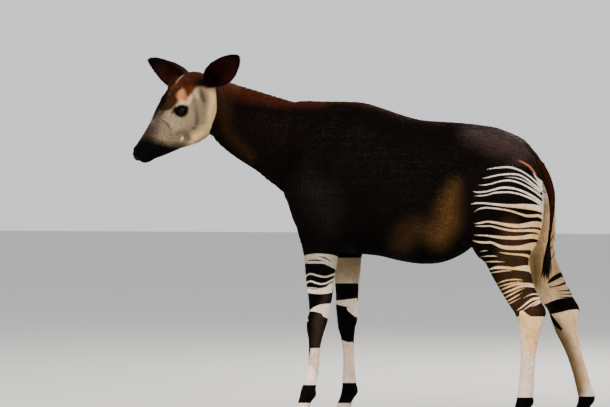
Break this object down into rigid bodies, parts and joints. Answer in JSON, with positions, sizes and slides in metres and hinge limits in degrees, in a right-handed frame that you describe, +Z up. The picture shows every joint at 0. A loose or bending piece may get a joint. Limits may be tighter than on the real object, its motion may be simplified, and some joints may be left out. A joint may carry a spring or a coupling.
{
  "type": "okapi",
  "caption": "Standing okapi at life size, head turned to its left, with cupped ears, striped haunches and legs, cloven hooves and a tufted tail.",
  "frame": {"origin": "on the ground under the middle of the animal's box", "axes": "+Z up, +X towards the tail, +Y towards the animal's right side"},
  "size_m": [2.0297, 0.7114, 1.7047],
  "materials": {
    "dark_coat": "short velvety hair",
    "pale_coat": "short velvety hair",
    "hoof_horn": "matt horn",
    "eye_wet": "wet gloss"
  },
  "bodies": {
    "root": {"ear_left": "dark_coat", "ear_right": "dark_coat", "eye_left": "eye_wet", "eye_right": "eye_wet", "fore_leg_lower_left": "pale_coat", "fore_leg_lower_right": "pale_coat", "fore_leg_upper_left": "dark_coat", "fore_leg_upper_right": "dark_coat", "head": "pale_coat", "hind_leg_lower_left": "pale_coat", "hind_leg_lower_right": "pale_coat", "hind_leg_upper_left": "dark_coat", "hind_leg_upper_right": "dark_coat", "hoof_fore_left_a": "hoof_horn", "hoof_fore_left_b": "hoof_horn", "hoof_fore_right_a": "hoof_horn", "hoof_fore_right_b": "hoof_horn", "hoof_hind_left_a": "hoof_horn", "hoof_hind_left_b": "hoof_horn", "hoof_hind_right_a": "hoof_horn", "hoof_hind_right_b": "hoof_horn", "neck": "dark_coat", "tail": "dark_coat", "tail_tuft": "dark_coat", "torso": "dark_coat"}
  },
  "joints": []
}
